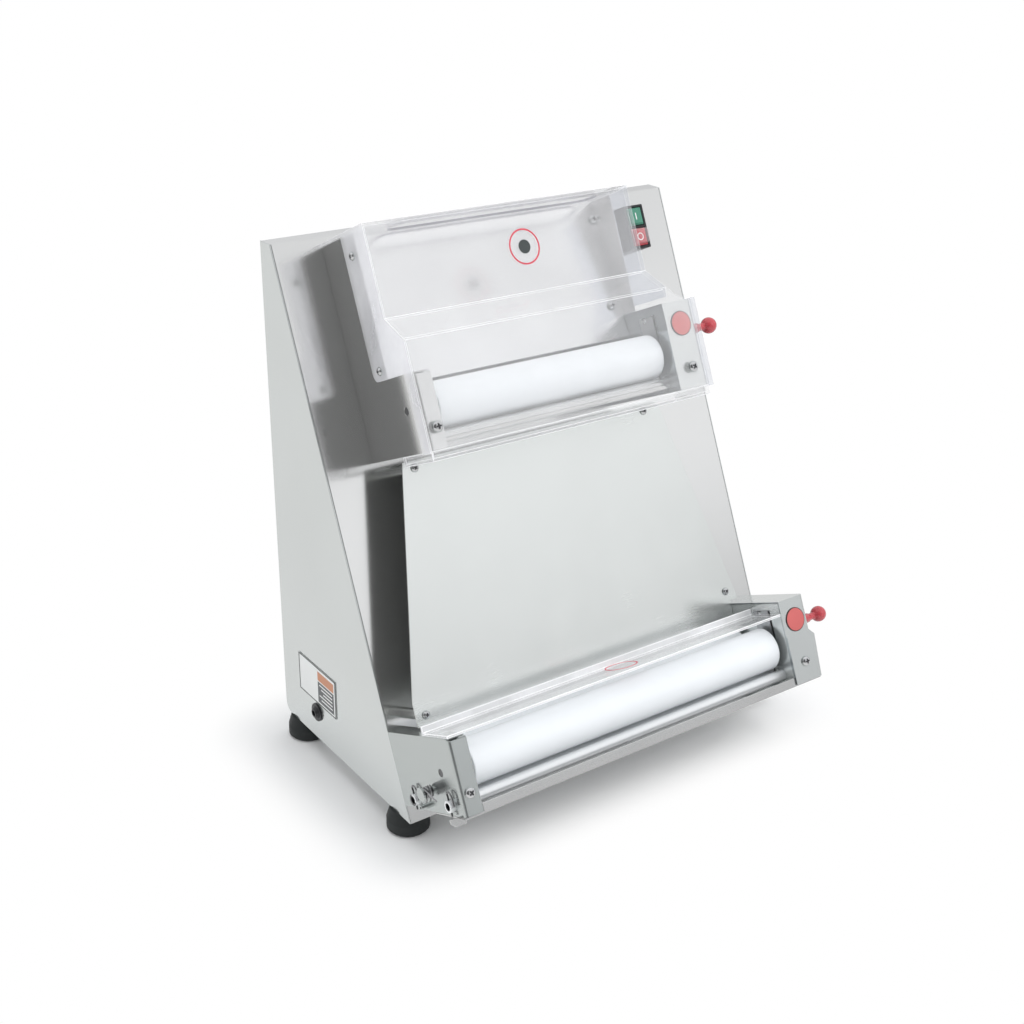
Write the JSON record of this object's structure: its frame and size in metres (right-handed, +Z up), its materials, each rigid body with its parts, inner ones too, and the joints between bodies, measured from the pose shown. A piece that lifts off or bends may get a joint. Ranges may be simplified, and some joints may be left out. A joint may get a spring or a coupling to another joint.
{
  "type": "pizza dough roller machine",
  "caption": "Countertop dough roller: a leaning stainless body with an upper and a lower roller head, a clear hood, a chute between the heads and gap levers on the right.",
  "frame": {"origin": "on the ground under the middle of the machine's overall box", "axes": "+Z up, the front with the rollers looks along -Y, +X is to the right of someone who looks at the back, so the gap knobs are on the +X side"},
  "size_m": [0.5584, 0.3948, 0.6354],
  "materials": {
    "stainless_sheet": "satin stainless sheet",
    "polished_steel": "polished stainless",
    "machined_steel": "machined steel",
    "white_plastic": "smooth food-grade plastic",
    "clear_plastic": "clear polished sheet",
    "red_plastic": "glossy red plastic",
    "green_plastic": "glossy green plastic",
    "black_plastic": "moulded black plastic",
    "rubber": "black rubber",
    "label": "blank printed foil",
    "motor_paint": "grey enamel"
  },
  "bodies": {
    "root": {"back_cover": "stainless_sheet", "base_plate": "stainless_sheet", "cable_gland": "black_plastic", "chute_plate": "stainless_sheet", "drive_belt": "rubber", "drive_chain": "machined_steel", "foot_front_left": "rubber", "foot_front_right": "rubber", "foot_rear_left": "rubber", "foot_rear_right": "rubber", "front_panel": "stainless_sheet", "gearmotor": "motor_paint", "infeed_plate": "stainless_sheet", "left_side_panel": "stainless_sheet", "lower_drive_bearings": "machined_steel", "lower_gear_cover": "stainless_sheet", "lower_guard": "clear_plastic", "lower_left_bearing_plate": "machined_steel", "lower_left_side_plate": "stainless_sheet", "lower_outlet_tray": "stainless_sheet", "lower_red_disc": "red_plastic", "lower_right_bearing_plate": "machined_steel", "motor_cradle": "stainless_sheet", "right_side_panel": "stainless_sheet", "scraper_spring": "polished_steel", "side_label": "label", "switch_housing": "black_plastic", "upper_drive_bearings": "machined_steel", "upper_gear_cover": "stainless_sheet", "upper_hood": "clear_plastic", "upper_left_bearing_plate": "machined_steel", "upper_left_side_plate": "stainless_sheet", "upper_outlet_tray": "clear_plastic", "upper_red_disc": "red_plastic", "upper_right_bearing_plate": "machined_steel"},
    "switch_on": {"switch_on_button": "green_plastic"},
    "switch_off": {"switch_off_button": "red_plastic"},
    "motor_drive": {"motor_pulley": "machined_steel"},
    "upper_drive": {"upper_drive_shaft": "machined_steel"},
    "upper_rear": {"upper_rear_roller": "white_plastic", "upper_rear_shaft": "machined_steel"},
    "upper_carriage": {"upper_roller_carriage": "machined_steel"},
    "upper_front": {"upper_front_roller": "white_plastic", "upper_front_shaft": "machined_steel"},
    "upper_lever": {"upper_gap_lever": "polished_steel"},
    "upper_knob": {"upper_gap_knob": "red_plastic"},
    "upper_front_scraping": {"upper_front_scraper": "polished_steel"},
    "upper_rear_scraping": {"upper_rear_scraper": "polished_steel"},
    "lower_drive": {"lower_drive_shaft": "machined_steel"},
    "lower_rear": {"lower_rear_roller": "white_plastic", "lower_rear_shaft": "machined_steel"},
    "lower_carriage": {"lower_roller_carriage": "machined_steel"},
    "lower_front": {"lower_front_roller": "white_plastic", "lower_front_shaft": "machined_steel"},
    "lower_lever": {"lower_gap_lever": "polished_steel"},
    "lower_knob": {"lower_gap_knob": "red_plastic"},
    "lower_front_scraping": {"lower_front_scraper": "polished_steel", "front_scraper_clip": "polished_steel"},
    "lower_rear_scraping": {"lower_rear_scraper": "polished_steel", "rear_scraper_clip": "polished_steel"}
  },
  "joints": [
    {"name": "lower_drive_spin", "type": "hinge", "parent": "root", "child": "lower_drive", "pos_m": [0.14165, -0.0378, 0.07705], "axis": [1, 0, 0], "continuous": true},
    {"name": "upper_drive_spin", "type": "hinge", "parent": "root", "child": "upper_drive", "pos_m": [0.10165, 0.11216, 0.4062], "axis": [1, 0, 0], "continuous": true},
    {"name": "motor_spin", "type": "hinge", "parent": "root", "child": "motor_drive", "pos_m": [0.08165, 0.0822, 0.097], "axis": [1, 0, 0], "continuous": true},
    {"name": "upper_rear_roller_spin", "type": "hinge", "parent": "root", "child": "upper_rear", "pos_m": [0.00165, 0.05013, 0.43446], "axis": [1, 0, 0], "continuous": true},
    {"name": "upper_carriage_slide", "type": "slide", "parent": "root", "child": "upper_carriage", "axis": [0, -0.91, 0.4146], "range_m": [0, 0.003]},
    {"name": "upper_front_roller_spin", "type": "hinge", "parent": "upper_carriage", "child": "upper_front", "pos_m": [0.00165, 0.00326, 0.45581], "axis": [1, 0, 0], "continuous": true},
    {"name": "upper_lever_turn", "type": "hinge", "parent": "root", "child": "upper_lever", "pos_m": [0.16565, 0.02084, 0.48956], "axis": [1, 0, 0], "range_deg": [0, 60]},
    {"name": "upper_knob_pull", "type": "slide", "parent": "upper_lever", "child": "upper_knob", "axis": [1, 0, 0], "range_m": [0, 0.004], "stiffness_N_per_m": 600, "springref_m": -0.004},
    {"name": "upper_front_scraper_swing", "type": "hinge", "parent": "root", "child": "upper_front_scraping", "pos_m": [0.00165, -0.02134, 0.43076], "axis": [1, 0, 0], "range_deg": [-5, 0], "stiffness_Nm_per_rad": 0.8, "springref_deg": 5.73},
    {"name": "upper_rear_scraper_swing", "type": "hinge", "parent": "root", "child": "upper_rear_scraping", "pos_m": [0.00165, 0.04555, 0.40029], "axis": [1, 0, 0], "range_deg": [0, 5], "stiffness_Nm_per_rad": 0.8, "springref_deg": -5.73},
    {"name": "lower_rear_roller_spin", "type": "hinge", "parent": "root", "child": "lower_rear", "pos_m": [0.00165, -0.09983, 0.10531], "axis": [1, 0, 0], "continuous": true},
    {"name": "lower_carriage_slide", "type": "slide", "parent": "root", "child": "lower_carriage", "axis": [0, -0.91, 0.4146], "range_m": [0, 0.003]},
    {"name": "lower_front_roller_spin", "type": "hinge", "parent": "lower_carriage", "child": "lower_front", "pos_m": [0.00165, -0.14669, 0.12666], "axis": [1, 0, 0], "continuous": true},
    {"name": "lower_lever_turn", "type": "hinge", "parent": "root", "child": "lower_lever", "pos_m": [0.23415, -0.12912, 0.16041], "axis": [1, 0, 0], "range_deg": [0, 60]},
    {"name": "lower_knob_pull", "type": "slide", "parent": "lower_lever", "child": "lower_knob", "axis": [1, 0, 0], "range_m": [0, 0.004], "stiffness_N_per_m": 600, "springref_m": -0.004},
    {"name": "lower_front_scraper_swing", "type": "hinge", "parent": "root", "child": "lower_front_scraping", "pos_m": [0.00165, -0.1713, 0.10161], "axis": [1, 0, 0], "range_deg": [-5, 0], "stiffness_Nm_per_rad": 0.8, "springref_deg": 5.73},
    {"name": "lower_rear_scraper_swing", "type": "hinge", "parent": "root", "child": "lower_rear_scraping", "pos_m": [0.00165, -0.10441, 0.07114], "axis": [1, 0, 0], "range_deg": [0, 5], "stiffness_Nm_per_rad": 0.8, "springref_deg": -5.73},
    {"name": "switch_on_press", "type": "slide", "parent": "root", "child": "switch_on", "axis": [0, 0.91, -0.4146], "range_m": [0, 0.0025], "stiffness_N_per_m": 500, "springref_m": -0.001},
    {"name": "switch_off_press", "type": "slide", "parent": "root", "child": "switch_off", "axis": [0, 0.91, -0.4146], "range_m": [0, 0.0025], "stiffness_N_per_m": 500, "springref_m": -0.001}
  ],
  "couplings": [
    {"joint": "motor_spin", "follows": "lower_drive_spin", "ratio": 1},
    {"joint": "upper_drive_spin", "follows": "lower_drive_spin", "ratio": 1},
    {"joint": "upper_rear_roller_spin", "follows": "lower_drive_spin", "ratio": -1.6471},
    {"joint": "upper_front_roller_spin", "follows": "lower_drive_spin", "ratio": 1.6471},
    {"joint": "upper_lever_turn", "follows": "upper_carriage_slide", "rad_per_m": 349.06},
    {"joint": "lower_rear_roller_spin", "follows": "lower_drive_spin", "ratio": -1.6471},
    {"joint": "lower_front_roller_spin", "follows": "lower_drive_spin", "ratio": 1.6471},
    {"joint": "lower_lever_turn", "follows": "lower_carriage_slide", "rad_per_m": 349.06}
  ]
}
